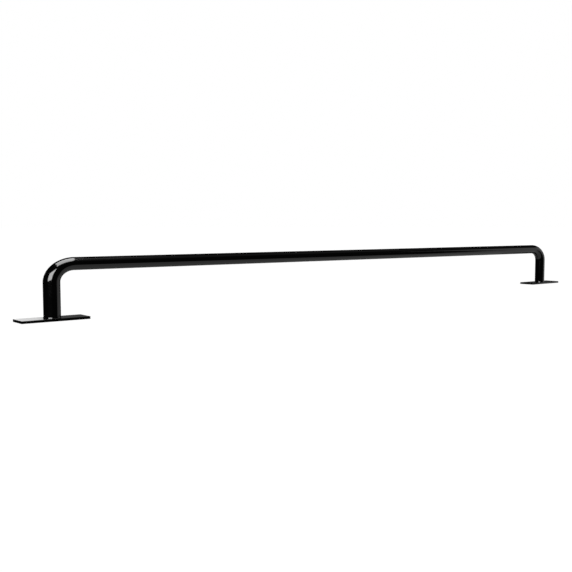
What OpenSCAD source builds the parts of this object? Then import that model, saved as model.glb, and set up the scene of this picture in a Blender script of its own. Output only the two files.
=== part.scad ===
// Low bed side rail: a straight round tube between two formed end bends, each welded to a flat foot plate.
// X runs along the rail, Y across it, Z up. The origin is midway between the legs, at the underside of
// the foot plates.

/* [Rail] */
// Distance between the two leg axes
leg_spacing = 1550; // [600:10:2000]
// Height of the rail's axis above the underside of the foot plates
rail_axis_height = 105; // [70:0.5:300]
// Outside diameter of the round rail tube
tube_diameter = 25; // [19:0.5:38]
// Wall thickness of the rail tube and the end bends
tube_wall = 2; // [1.2:0.1:3]

/* [End bends] */
// Width of the oval leg along the rail (across the rail it is as deep as the tube)
leg_width = 33; // [19:0.5:50]
// Height of the bend, from the leg's top to the rail's axis
bend_height = 34; // [25:1:45]
// Length of straight round tube between the bend and the joint with the rail tube
bend_tail = 40; // [35:1:80]

/* [Foot plates] */
// Length of a foot plate along the rail
plate_length = 133; // [70:1:200]
// Width of a foot plate across the rail
plate_width = 45; // [30:1:80]
// Thickness of a foot plate
plate_thickness = 5; // [3:0.5:8]
// Radius of the foot plate's corners
plate_corner_radius = 1; // [0.5:0.5:5]

/* [Joints and welds] */
// Height of the weld round the foot of a leg
foot_weld_height = 2.5; // [1.5:0.5:4]
// Reach of that weld across the foot plate
foot_weld_reach = 0.8; // [0.5:0.1:2]
// Depth of the groove that the butt weld fills
joint_weld_depth = 1.2; // [0.5:0.1:1.2]
// Length of the sleeve inside the butt joint
sleeve_length = 60; // [40:1:68]
// Wall thickness of the sleeve
sleeve_wall = 2; // [1:0.1:3]
// Clearance between the sleeve and the bore round it
sleeve_clearance = 0.1; // [0.05:0.05:0.3]

/* [Hidden] */
$fn = 96;

LEFT = -1;
RIGHT = 1;
tube_radius = tube_diameter / 2;
bore_radius = tube_radius - tube_wall;
// The end bends are a round bend and leg, widened along the rail by this factor.
leg_stretch = leg_width / tube_diameter;
bend_length = bend_height * leg_stretch;
leg_top = rail_axis_height - bend_height;
bend_start = leg_spacing / 2 - bend_length;
joint_x = bend_start - bend_tail;
// Cuts run past the faces they cut by this much.
overcut = 1;

coat_colour = [0.02, 0.02, 0.02];
steel_colour = [0.45, 0.46, 0.48];

// ---- Shared shapes ----

// The left end is the right end turned half round about the vertical axis.
module at_end(side) {
    rotate([0, 0, side == LEFT ? 180 : 0]) children();
}

// A round bar along X, from x0 to x1 at the rail's height.
module rail_bar(radius, x0, x1) {
    translate([x0, 0, rail_axis_height]) rotate([0, 90, 0]) cylinder(r = radius, h = x1 - x0);
}

// A quarter turn from the rail's direction down to the leg, about the bend's centre.
module quarter_bend(radius) {
    translate([0, 0, leg_top]) rotate([90, 0, 0])
        rotate_extrude(angle = 90) translate([bend_height, 0]) circle(r = radius);
}

// The bend with its leg and tail, as one solid bar. The leg ends on the foot plate's upper face.
module bend_bar(radius, below, beyond) {
    translate([bend_start, 0, 0]) scale([leg_stretch, 1, 1]) {
        quarter_bend(radius);
        translate([bend_height, 0, plate_thickness - below])
            cylinder(r = radius, h = leg_top - plate_thickness + below);
    }
    rail_bar(radius, joint_x - beyond, bend_start);
}

// The V groove round a joint at the rail's height, half as deep as it is wide.
module joint_groove(outer_radius) {
    half_width = outer_radius - tube_radius + joint_weld_depth;
    translate([joint_x, 0, rail_axis_height]) rotate([0, 90, 0])
        rotate_extrude() polygon([[tube_radius - joint_weld_depth, 0],
                                  [outer_radius, half_width],
                                  [outer_radius, -half_width]]);
}

// ---- Sub-parts ----

module rail_tube() {
    color(coat_colour) difference() {
        rail_bar(tube_radius, -joint_x, joint_x);
        rail_bar(bore_radius, -joint_x - overcut, joint_x + overcut);
        for (side = [LEFT, RIGHT]) at_end(side) joint_groove(tube_radius + overcut);
    }
}

module end_bend(side) {
    color(coat_colour) at_end(side) difference() {
        bend_bar(tube_radius, 0, 0);
        bend_bar(bore_radius, overcut, overcut);
        joint_groove(tube_radius + overcut);
    }
}

module joint_sleeve(side) {
    outer_radius = bore_radius - sleeve_clearance;
    color(steel_colour) at_end(side) difference() {
        rail_bar(outer_radius, joint_x - sleeve_length / 2, joint_x + sleeve_length / 2);
        rail_bar(outer_radius - sleeve_wall,
                 joint_x - sleeve_length / 2 - overcut, joint_x + sleeve_length / 2 + overcut);
    }
}

module joint_weld(side) {
    color(coat_colour) at_end(side) joint_groove(tube_radius);
}

module foot_plate(side) {
    straight_length = plate_length - 2 * plate_corner_radius;
    straight_width = plate_width - 2 * plate_corner_radius;
    color(coat_colour) at_end(side) translate([leg_spacing / 2, 0, 0]) {
        linear_extrude(plate_thickness) union() {
            square([straight_length, plate_width], center = true);
            square([plate_length, straight_width], center = true);
            for (x = [-1, 1], y = [-1, 1])
                translate([x * straight_length / 2, y * straight_width / 2])
                    circle(r = plate_corner_radius);
        }
    }
}

// A slim weld round the oval leg, dressed to a steep straight face from the leg's wall to the plate.
module foot_weld(side) {
    color(coat_colour) at_end(side) translate([leg_spacing / 2, 0, plate_thickness])
        scale([leg_stretch, 1, 1]) difference() {
            cylinder(r1 = tube_radius + foot_weld_reach, r2 = tube_radius, h = foot_weld_height);
            translate([0, 0, -overcut])
                cylinder(r = tube_radius, h = foot_weld_height + 2 * overcut);
        }
}

rail_tube();
end_bend(LEFT);  // left_end_bend
end_bend(RIGHT);  // right_end_bend
joint_sleeve(LEFT);  // left_joint_sleeve
joint_sleeve(RIGHT);  // right_joint_sleeve
joint_weld(LEFT);  // left_joint_weld
joint_weld(RIGHT);  // right_joint_weld
foot_plate(LEFT);  // left_foot_plate
foot_plate(RIGHT);  // right_foot_plate
foot_weld(LEFT);  // left_foot_weld
foot_weld(RIGHT);  // right_foot_weld
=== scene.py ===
"""Looks for a low bed side rail: a gloss black tube between two end bends, each welded to a foot plate."""
import math

import bmesh
import bpy
from mathutils import Matrix, Vector


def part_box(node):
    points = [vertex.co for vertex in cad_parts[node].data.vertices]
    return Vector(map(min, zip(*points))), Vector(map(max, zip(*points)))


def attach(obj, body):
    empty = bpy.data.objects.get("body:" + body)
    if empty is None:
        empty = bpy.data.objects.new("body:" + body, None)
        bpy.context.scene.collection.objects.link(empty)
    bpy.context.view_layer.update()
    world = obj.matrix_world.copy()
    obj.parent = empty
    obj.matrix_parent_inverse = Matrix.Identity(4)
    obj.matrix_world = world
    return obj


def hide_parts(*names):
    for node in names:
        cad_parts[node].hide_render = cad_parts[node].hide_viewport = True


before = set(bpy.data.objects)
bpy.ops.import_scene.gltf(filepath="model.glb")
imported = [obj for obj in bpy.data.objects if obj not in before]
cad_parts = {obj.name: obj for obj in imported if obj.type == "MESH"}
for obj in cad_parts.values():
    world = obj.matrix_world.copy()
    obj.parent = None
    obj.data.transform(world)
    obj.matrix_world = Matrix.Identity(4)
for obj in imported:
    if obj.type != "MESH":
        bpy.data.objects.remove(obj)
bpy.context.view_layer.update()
BODY = "root"
SIDES = {"left": -1, "right": 1}

# ---- Sizes, in metres, taken from the frame where a box gives them ----
rail_low, rail_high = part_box("rail_tube")
plate_low, plate_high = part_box("right_foot_plate")
end_low, end_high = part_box("right_end_bend")
joint_low, joint_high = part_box("right_joint_weld")
foot_low, foot_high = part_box("right_foot_weld")

TUBE_RADIUS = (rail_high.y - rail_low.y) / 2
TUBE_WALL = 0.002
BORE_RADIUS = TUBE_RADIUS - TUBE_WALL
RAIL_HEIGHT = (rail_high.z + rail_low.z) / 2
PLATE_TOP = plate_high.z
PLATE_LENGTH = plate_high.x - plate_low.x
PLATE_WIDTH = plate_high.y - plate_low.y
PLATE_CORNER = 0.001
PLATE_EDGE = 0.00025
# A border this wide runs round the plate's faces, so that its wear stays near the edge.
PLATE_BORDER = 0.0015
CORNER_MIN = 0.0002
LEG_X = (plate_high.x + plate_low.x) / 2
LEG_STRETCH = (end_high.x - LEG_X) / TUBE_RADIUS
JOINT_X = end_low.x
GROOVE = (joint_high.x - joint_low.x) / 2
BEND_TAIL = 0.040
BEND_START = JOINT_X + BEND_TAIL
BEND_LENGTH = LEG_X - BEND_START
BEND_HEIGHT = BEND_LENGTH / LEG_STRETCH
LEG_TOP = RAIL_HEIGHT - BEND_HEIGHT
BEAD_REACH = (foot_high.y - foot_low.y) / 2 - TUBE_RADIUS
BEAD_HEIGHT = foot_high.z - foot_low.z
# The bead is sunk this deep into the leg and the plate, and bulges by its crown.
BEAD_ROOT = 0.0003
BEAD_CROWN = 0.0001
# Where the bead's buried toe lies, as a share of its reach.
BEAD_TOE = 0.96
BEAD_RIPPLES = 46
RIPPLE_DEPTH = 0.05
RIPPLE_BOW = 0.8

# ---- How finely the pieces are cut ----
AROUND = 128
BEND_STEPS = 64
CORNER_STEPS = 8
EDGE_STEPS = 4
STEPS_PER_RIPPLE = 8
BEAD_STEPS = 10
SHARP_ANGLE = 30.0


# ---- Mesh helpers ----

def new_piece(name, bm, replaced):
    """Makes a piece from bm, smooth but for its caps and the edges sharper than SHARP_ANGLE degrees."""
    bmesh.ops.recalc_face_normals(bm, faces=bm.faces[:])
    for face in bm.faces:
        face.smooth = len(face.verts) == 4
    for edge in bm.edges:
        edge.smooth = edge.calc_face_angle(0.0) < math.radians(SHARP_ANGLE)
    mesh = bpy.data.meshes.new(name)
    bm.to_mesh(mesh)
    bm.free()
    piece = bpy.data.objects.new(name, mesh)
    bpy.context.collection.objects.link(piece)
    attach(piece, BODY)
    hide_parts(replaced)
    return piece


def skin_rings(rings, closed=True):
    """Quads between each ring and the next: back to the first if closed, else capped at both ends."""
    bm = bmesh.new()
    rows = [[bm.verts.new(point) for point in ring] for ring in rings]
    count = len(rows[0])
    pairs = list(zip(rows, rows[1:])) + ([(rows[-1], rows[0])] if closed else [])
    for first, second in pairs:
        for i in range(count):
            j = (i + 1) % count
            bm.faces.new((first[i], first[j], second[j], second[i]))
    if not closed:
        bm.faces.new(rows[0])
        bm.faces.new(rows[-1])
    return bm


def turn_to_side(bm, side):
    """Everything is built at the right end; the left end is the same turned half round."""
    if side < 0:
        bmesh.ops.rotate(bm, verts=bm.verts[:], matrix=Matrix.Rotation(math.pi, 3, "Z"))
    return bm


def turns(steps, total=2 * math.pi):
    """Even angles from 0 up to total, which is left out."""
    return [total * i / steps for i in range(steps)]


# ---- The tube and its end bends ----

def bar_ring(x, radius):
    """A ring of the straight tube at x."""
    return [Vector((x, radius * math.cos(a), RAIL_HEIGHT + radius * math.sin(a)))
            for a in turns(AROUND)]


def make_rail_tube():
    """The straight tube, chamfered at both ends for the butt welds and bored through."""
    throat = TUBE_RADIUS - GROOVE
    profile = [(-JOINT_X, throat), (-JOINT_X + GROOVE, TUBE_RADIUS),
               (JOINT_X - GROOVE, TUBE_RADIUS), (JOINT_X, throat),
               (JOINT_X, BORE_RADIUS), (-JOINT_X, BORE_RADIUS)]
    bm = skin_rings([bar_ring(x, radius) for x, radius in profile])
    return new_piece("rail_tube_coated", bm, "rail_tube")


def bend_ring(turn, radius):
    """A ring of the end bend, turned by 0 at the rail to a right angle at the leg's top."""
    ring = []
    for a in turns(AROUND):
        reach = BEND_HEIGHT + radius * math.sin(a)
        ring.append(Vector((BEND_START + LEG_STRETCH * reach * math.sin(turn),
                            radius * math.cos(a), LEG_TOP + reach * math.cos(turn))))
    return ring


def leg_ring(z, radius):
    """A ring of the oval leg at height z."""
    return [Vector((LEG_X + LEG_STRETCH * radius * math.sin(a), radius * math.cos(a), z))
            for a in turns(AROUND)]


def make_end_bend(name, side):
    """Tail, bend and leg in one shell, open into the rail's bore and down to the plate."""
    quarter = turns(BEND_STEPS, math.pi / 2) + [math.pi / 2]
    outer = [bar_ring(JOINT_X, TUBE_RADIUS - GROOVE), bar_ring(JOINT_X + GROOVE, TUBE_RADIUS)]
    outer += [bend_ring(turn, TUBE_RADIUS) for turn in quarter]
    outer += [leg_ring(PLATE_TOP, TUBE_RADIUS)]
    inner = [leg_ring(PLATE_TOP, BORE_RADIUS)]
    inner += [bend_ring(turn, BORE_RADIUS) for turn in reversed(quarter)]
    inner += [bar_ring(JOINT_X, BORE_RADIUS)]
    bm = turn_to_side(skin_rings(outer + inner), side)
    return new_piece(name + "_end_bend_coated", bm, name + "_end_bend")


def make_joint_weld(name, side):
    """The butt weld, dressed flush with the tube and coated over."""
    bm = skin_rings([bar_ring(JOINT_X - GROOVE, TUBE_RADIUS), bar_ring(JOINT_X + GROOVE, TUBE_RADIUS),
                     bar_ring(JOINT_X, TUBE_RADIUS - GROOVE)])
    return new_piece(name + "_joint_weld_dressed", turn_to_side(bm, side),
                     name + "_joint_weld")


# ---- The feet ----

def plate_ring(z, inset):
    """The plate's outline at height z, drawn in by inset. Its corners keep a radius of CORNER_MIN or more."""
    ring = []
    radius = max(PLATE_CORNER - inset, CORNER_MIN)
    for quarter in range(4):
        for step in range(CORNER_STEPS + 1):
            a = math.pi / 2 * (quarter + step / CORNER_STEPS)
            corner_x = math.copysign(PLATE_LENGTH / 2 - inset - radius, (1, -1, -1, 1)[quarter])
            corner_y = math.copysign(PLATE_WIDTH / 2 - inset - radius, (1, 1, -1, -1)[quarter])
            ring.append(Vector((LEG_X + corner_x + radius * math.cos(a),
                                corner_y + radius * math.sin(a), z)))
    return ring


def make_foot_plate(name, side):
    """The flat foot plate with its corners rounded and its edges broken."""
    edge = [(PLATE_EDGE * (1 - math.cos(a)), PLATE_EDGE * (1 - math.sin(a)))
            for a in turns(EDGE_STEPS, math.pi / 2) + [math.pi / 2]]
    rings = [plate_ring(0, PLATE_BORDER)]
    rings += [plate_ring(rise, inset) for rise, inset in edge]
    rings += [plate_ring(PLATE_TOP - rise, inset) for rise, inset in reversed(edge)]
    rings += [plate_ring(PLATE_TOP, PLATE_BORDER)]
    bm = turn_to_side(skin_rings(rings, closed=False), side)
    return new_piece(name + "_foot_plate_coated", bm, name + "_foot_plate")


def bead_section(a, lead):
    """One cut through the bead at angle a round the leg, as points (outward, up); lead shifts the ripples."""
    points = [(-BEAD_ROOT, -BEAD_ROOT), (-BEAD_ROOT, BEAD_HEIGHT)]
    for step in range(BEAD_STEPS + 1):
        s = step / BEAD_STEPS
        bow = RIPPLE_BOW * math.sin(math.pi * s)
        scale = 1 - RIPPLE_DEPTH * (0.5 - 0.5 * math.cos(BEAD_RIPPLES * a + bow + lead))
        crown = BEAD_CROWN * math.sin(math.pi * s)
        points.append(((BEAD_REACH * s + crown) * scale, BEAD_HEIGHT * (1 - s)))
    points.append((BEAD_REACH * BEAD_TOE, -BEAD_ROOT))
    return points


def make_foot_weld(name, side):
    """The bead round the leg, with the ripples that the weld pool leaves."""
    rings = []
    for a in turns(BEAD_RIPPLES * STEPS_PER_RIPPLE):
        leg = Vector((LEG_STRETCH * TUBE_RADIUS * math.cos(a), TUBE_RADIUS * math.sin(a), 0))
        out = Vector((math.cos(a), LEG_STRETCH * math.sin(a), 0)).normalized()
        centre = Vector((LEG_X, 0, PLATE_TOP))
        rings.append([centre + leg + out * u + Vector((0, 0, v)) for u, v in bead_section(a, side)])
    bm = turn_to_side(skin_rings(rings), side)
    return new_piece(name + "_foot_weld_bead", bm, name + "_foot_weld")


# ---- Material helpers ----

def new_material(name):
    material = bpy.data.materials.new(name)
    material.use_nodes = True
    return material, material.node_tree, material.node_tree.nodes["Principled BSDF"]


def feed(tree, socket, value):
    """Links value to the socket if it is a socket itself, else sets it."""
    if isinstance(value, bpy.types.NodeSocket):
        tree.links.new(value, socket)
    else:
        socket.default_value = value


def math_node(tree, operation, first, second=0.0):
    node = tree.nodes.new("ShaderNodeMath")
    node.operation = operation
    feed(tree, node.inputs[0], first)
    feed(tree, node.inputs[1], second)
    return node.outputs[0]


def ramp(tree, value, start, end, low=0.0, high=1.0):
    """Eases from low at start to high at end and holds beyond them."""
    node = tree.nodes.new("ShaderNodeMapRange")
    node.interpolation_type = "SMOOTHSTEP"
    feed(tree, node.inputs["Value"], value)
    for socket, number in (("From Min", start), ("From Max", end), ("To Min", low), ("To Max", high)):
        node.inputs[socket].default_value = number
    return node.outputs["Result"]


def noise(tree, coords, scale, detail=2.0, roughness=0.5):
    """Noise of the given scale in lumps per metre."""
    node = tree.nodes.new("ShaderNodeTexNoise")
    feed(tree, node.inputs["Vector"], coords)
    node.inputs["Scale"].default_value = scale
    node.inputs["Detail"].default_value = detail
    node.inputs["Roughness"].default_value = roughness
    return node.outputs["Fac"]


def mix_colour(tree, factor, first, second):
    node = tree.nodes.new("ShaderNodeMix")
    node.data_type = "RGBA"
    feed(tree, node.inputs["Factor"], factor)
    node.inputs["A"].default_value = (*first, 1)
    node.inputs["B"].default_value = (*second, 1)
    return node.outputs["Result"]


def bump(tree, height, distance, before=None):
    """A bump of the given depth in metres, on top of an earlier one if given."""
    node = tree.nodes.new("ShaderNodeBump")
    node.inputs["Distance"].default_value = distance
    feed(tree, node.inputs["Height"], height)
    if before is not None:
        feed(tree, node.inputs["Normal"], before)
    return node.outputs["Normal"]


def object_coords(tree):
    return tree.nodes.new("ShaderNodeTexCoord").outputs["Object"]


# ---- Materials: noise scales in lumps per metre, depths in metres, cuts as ranges of noise ----

COAT_BLACK = (0.0002,) * 3
COAT_DULLED = (0.004,) * 3
COAT_IOR = 1.5
CLOUD_SCALE = 22.0
CLOUD_CUT = (0.30, 0.70)
CLOUD_ROUGHNESS = (0.055, 0.095)
DUST_SCALE = 900.0
DUST_CUT = (0.66, 0.74)
DUST_TONE = 0.35
DUST_ROUGHNESS = 0.06
# Wear shows where the mesh is this pointed, in patches, and fades out just above the foot plates.
WEAR_POINTINESS = (0.56, 0.66)
WEAR_SCALE = 260.0
WEAR_CUT = (0.40, 0.62)
WEAR_FADE = (PLATE_TOP + 0.0007, PLATE_TOP + 0.0002)
WEAR_ROUGHNESS = 0.16
WAVE_SCALE = 90.0
WAVE_DEPTH = 0.00004
PEEL_SCALE = 420.0
PEEL_DEPTH = 0.000006


def worn_edges(tree, coords):
    """How far the coat is worn, from 0 to 1: only along the foot plates' edges."""
    geometry = tree.nodes.new("ShaderNodeNewGeometry")
    edge = ramp(tree, geometry.outputs["Pointiness"], *WEAR_POINTINESS)
    split = tree.nodes.new("ShaderNodeSeparateXYZ")
    feed(tree, split.inputs[0], coords)
    edge = math_node(tree, "MULTIPLY", edge, ramp(tree, split.outputs["Z"], *WEAR_FADE))
    return math_node(tree, "MULTIPLY", edge, ramp(tree, noise(tree, coords, WEAR_SCALE), *WEAR_CUT))


def make_gloss_coat():
    """Gloss black coating: faint orange peel, soft cloudy gloss, dust, and worn edges on the plates."""
    material, tree, shader = new_material("gloss_black_coat")
    coords = object_coords(tree)
    dust = ramp(tree, noise(tree, coords, DUST_SCALE, detail=1.0), *DUST_CUT)
    worn = worn_edges(tree, coords)
    tone = math_node(tree, "MAXIMUM", worn, math_node(tree, "MULTIPLY", dust, DUST_TONE))
    feed(tree, shader.inputs["Base Color"], mix_colour(tree, tone, COAT_BLACK, COAT_DULLED))
    gloss = ramp(tree, noise(tree, coords, CLOUD_SCALE, detail=3.0), *CLOUD_CUT, *CLOUD_ROUGHNESS)
    gloss = math_node(tree, "ADD", gloss, math_node(tree, "MULTIPLY", dust, DUST_ROUGHNESS))
    gloss = math_node(tree, "ADD", gloss, math_node(tree, "MULTIPLY", worn, WEAR_ROUGHNESS))
    feed(tree, shader.inputs["Roughness"], gloss)
    shader.inputs["IOR"].default_value = COAT_IOR
    waves = bump(tree, noise(tree, coords, WAVE_SCALE, detail=1.0), WAVE_DEPTH)
    peel = bump(tree, noise(tree, coords, PEEL_SCALE, detail=1.5), PEEL_DEPTH, waves)
    feed(tree, shader.inputs["Normal"], peel)
    return material


STEEL_CLEAN = (0.47, 0.48, 0.50)
STEEL_OILY = (0.30, 0.29, 0.28)
OIL_SCALE = 120.0
OIL_CUT = (0.42, 0.68)
OIL_ROUGHNESS = 0.12
# The drawing lines are noise drawn out along X.
LINE_SCALE = 2600.0
LINE_STRETCH = (0.04, 1.0, 1.0)
LINE_CUT = (0.3, 0.7)
LINE_ROUGHNESS = (0.26, 0.36)
LINE_DEPTH = 0.00002


def make_bare_steel():
    """Drawn steel inside the tube: fine lines along the draw, and patches dark and dull with oil."""
    material, tree, shader = new_material("bare_steel")
    coords = object_coords(tree)
    mapping = tree.nodes.new("ShaderNodeMapping")
    feed(tree, mapping.inputs["Vector"], coords)
    mapping.inputs["Scale"].default_value = LINE_STRETCH
    lines = noise(tree, mapping.outputs["Vector"], LINE_SCALE, detail=3.0)
    oil = ramp(tree, noise(tree, coords, OIL_SCALE, detail=4.0), *OIL_CUT)
    feed(tree, shader.inputs["Base Color"], mix_colour(tree, oil, STEEL_CLEAN, STEEL_OILY))
    gloss = ramp(tree, lines, *LINE_CUT, *LINE_ROUGHNESS)
    gloss = math_node(tree, "ADD", gloss, math_node(tree, "MULTIPLY", oil, OIL_ROUGHNESS))
    feed(tree, shader.inputs["Roughness"], gloss)
    shader.inputs["Metallic"].default_value = 1.0
    feed(tree, shader.inputs["Normal"], bump(tree, lines, LINE_DEPTH))
    return material


# ---- Camera, floor and backdrop: metres, millimetres of lens, degrees of turn ----

CAMERA_PLACE = (-1.3718, -1.4512, 0.1780)
CAMERA_LENS = 51.0
CAMERA_SENSOR = 36.0
CAMERA_DIP = 4.31
CAMERA_TURN = 38.533


def add_camera():
    """The camera stands in front of the rail, out past its left end and a little above it."""
    data = bpy.data.cameras.new("camera")
    data.lens = CAMERA_LENS
    data.sensor_width = CAMERA_SENSOR
    camera = bpy.data.objects.new("camera", data)
    camera.location = CAMERA_PLACE
    camera.rotation_euler = (math.radians(90 - CAMERA_DIP), 0, math.radians(-CAMERA_TURN))
    bpy.context.collection.objects.link(camera)
    bpy.context.scene.camera = camera


FLOOR_SIZE = 140.0
FLOOR_DROP = 0.0002
FLOOR_ALBEDO = 0.049
FLOOR_GLOW = 0.93
# Between these distances from the origin the floor's glow rises to pure white.
FLOOR_FADE = (2.0, 6.0)
DOME_RADIUS = 60.0


def stage_piece(name, bm, material):
    """Links a piece of the studio that only the camera sees, so the gloss and the light are left alone."""
    mesh = bpy.data.meshes.new(name)
    bm.to_mesh(mesh)
    bm.free()
    mesh.materials.append(material)
    piece = bpy.data.objects.new(name, mesh)
    bpy.context.collection.objects.link(piece)
    piece.visible_glossy = False
    piece.visible_diffuse = False
    piece.visible_transmission = False
    piece.visible_volume_scatter = False
    piece.visible_shadow = False
    return piece


def add_floor():
    """A near-white floor that takes only a faint contact shadow, white further out."""
    material, tree, shader = new_material("studio_floor")
    span = tree.nodes.new("ShaderNodeVectorMath")
    span.operation = "LENGTH"
    feed(tree, span.inputs[0], object_coords(tree))
    glow = ramp(tree, span.outputs["Value"], *FLOOR_FADE, FLOOR_GLOW, 1.0)
    shader.inputs["Base Color"].default_value = (FLOOR_ALBEDO,) * 3 + (1,)
    shader.inputs["Roughness"].default_value = 1.0
    shader.inputs["Specular IOR Level"].default_value = 0.0
    shader.inputs["Emission Color"].default_value = (1, 1, 1, 1)
    feed(tree, shader.inputs["Emission Strength"], glow)
    bm = bmesh.new()
    bmesh.ops.create_grid(bm, x_segments=1, y_segments=1, size=FLOOR_SIZE / 2)
    floor = stage_piece("studio_floor", bm, material)
    floor.location.z = -FLOOR_DROP


def add_dome():
    """A plain white backdrop all round."""
    material, tree, shader = new_material("studio_backdrop")
    shader.inputs["Base Color"].default_value = (0, 0, 0, 1)
    shader.inputs["Specular IOR Level"].default_value = 0.0
    shader.inputs["Emission Color"].default_value = (1, 1, 1, 1)
    shader.inputs["Emission Strength"].default_value = 1.0
    bm = bmesh.new()
    bmesh.ops.create_icosphere(bm, subdivisions=4, radius=DOME_RADIUS)
    stage_piece("studio_backdrop", bm, material)


# ---- Light ----

# An area light's power is its radiance times its area times this.
LIGHT_SCALE = math.pi
KEY_CENTRE = (0.10, -2.65, 12.0)
KEY_SIZE = (8.2, 14.1)
KEY_RADIANCE = 8.4
FRONT_AZIMUTH = math.radians(-151.5)
FRONT_DISTANCE = 12.0
FRONT_HEIGHT = 4.05
FRONT_SIZE = (8.7, 6.9)
FRONT_RADIANCE = 11.0


def add_softbox(name, centre, target, width, height, radiance):
    """A rectangular softbox at centre, facing target."""
    data = bpy.data.lights.new(name, "AREA")
    data.shape = "RECTANGLE"
    data.size = width
    data.size_y = height
    data.energy = radiance * width * height * LIGHT_SCALE
    light = bpy.data.objects.new(name, data)
    light.location = centre
    light.rotation_euler = (Vector(target) - Vector(centre)).to_track_quat("-Z", "Y").to_euler()
    light.visible_camera = False
    bpy.context.collection.objects.link(light)


def add_lights():
    """A long softbox overhead and one standing behind the camera."""
    x, y, _ = KEY_CENTRE
    add_softbox("key_softbox", KEY_CENTRE, (x, y, 0), *KEY_SIZE, KEY_RADIANCE)
    x = FRONT_DISTANCE * math.sin(FRONT_AZIMUTH)
    y = FRONT_DISTANCE * math.cos(FRONT_AZIMUTH)
    add_softbox("front_softbox", (x, y, FRONT_HEIGHT), (0, 0, FRONT_HEIGHT), *FRONT_SIZE, FRONT_RADIANCE)


ROOM_RADIANCE = 0.018


def add_world():
    """What the gloss shows: a dark room with a pale floor and soft panels of light.

    Azimuth runs from +Y towards +X and elevation up from the horizon, both in degrees.
    """
    world = bpy.data.worlds.new("studio")
    bpy.context.scene.world = world
    world.use_nodes = True
    tree = world.node_tree
    direction = tree.nodes.new("ShaderNodeSeparateXYZ")
    feed(tree, direction.inputs[0], tree.nodes.new("ShaderNodeTexCoord").outputs["Generated"])
    x, y, z = direction.outputs
    azimuth = math_node(tree, "MULTIPLY", math_node(tree, "ARCTAN2", x, y), math.degrees(1))
    elevation = math_node(tree, "MULTIPLY", math_node(tree, "ARCSINE", z), math.degrees(1))
    turned = math_node(tree, "ABSOLUTE", azimuth)

    def patch(radiance, *edges):
        """A patch of light: its radiance times an eased edge for each (measure, outside, inside)."""
        for measure, outside, inside in edges:
            radiance = math_node(tree, "MULTIPLY", ramp(tree, measure, outside, inside), radiance)
        return radiance

    panels = [
        # The floor, and the paler part of it beside and in front of the rail.
        patch(0.30, (elevation, -19.0, -22.5)),
        patch(0.53, (turned, 62.0, 98.0), (elevation, -19.0, -22.5)),
        # A broad panel beyond the right end.
        patch(0.60, (azimuth, 81.0, 85.0), (azimuth, 129.0, 125.0), (elevation, 29.0, 18.0),
              (elevation, -23.0, -19.0)),
        # A low strip behind the rail, which the foot plates mirror: bright at the left, fading to the right.
        patch(2.2, (azimuth, -12.0, -8.0), (azimuth, 22.2, 18.6), (elevation, 1.5, 3.5),
              (elevation, 12.0, 9.0)),
        patch(1.23, (azimuth, -12.0, -8.0), (azimuth, 23.2, 21.2), (elevation, 1.5, 3.5),
              (elevation, 12.0, 9.0)),
        patch(0.10, (azimuth, 10.0, 14.0), (azimuth, 40.0, 28.0), (elevation, 2.0, 4.0),
              (elevation, 12.0, 9.0)),
        patch(0.045, (azimuth, 20.0, 28.0), (azimuth, 80.0, 70.0), (elevation, 0.0, 2.0),
              (elevation, 12.0, 8.0)),
        # Dim light high up at the right, which the rail's upper side mirrors.
        patch(0.10, (azimuth, 72.0, 88.0), (elevation, 30.0, 48.0)),
        patch(0.36, (azimuth, 60.0, 75.0), (azimuth, 140.0, 125.0), (elevation, 57.0, 63.0)),
    ]
    light = ROOM_RADIANCE
    for panel in panels:
        light = math_node(tree, "MAXIMUM", light, panel)
    background = tree.nodes["Background"]
    background.inputs["Color"].default_value = (1, 1, 1, 1)
    feed(tree, background.inputs["Strength"], light)


# ---- Everything in its place ----

coat = make_gloss_coat()
steel = make_bare_steel()
pieces = [make_rail_tube()]
for name, side in SIDES.items():
    pieces += [make_end_bend(name, side), make_joint_weld(name, side),
               make_foot_plate(name, side), make_foot_weld(name, side)]
for piece in pieces:
    piece.data.materials.append(coat)
for name in SIDES:
    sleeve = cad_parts[name + "_joint_sleeve"]
    sleeve.data.materials.clear()
    sleeve.data.materials.append(steel)

add_floor()
add_dome()
add_lights()
add_world()
add_camera()
bpy.context.scene.view_settings.view_transform = "Standard"
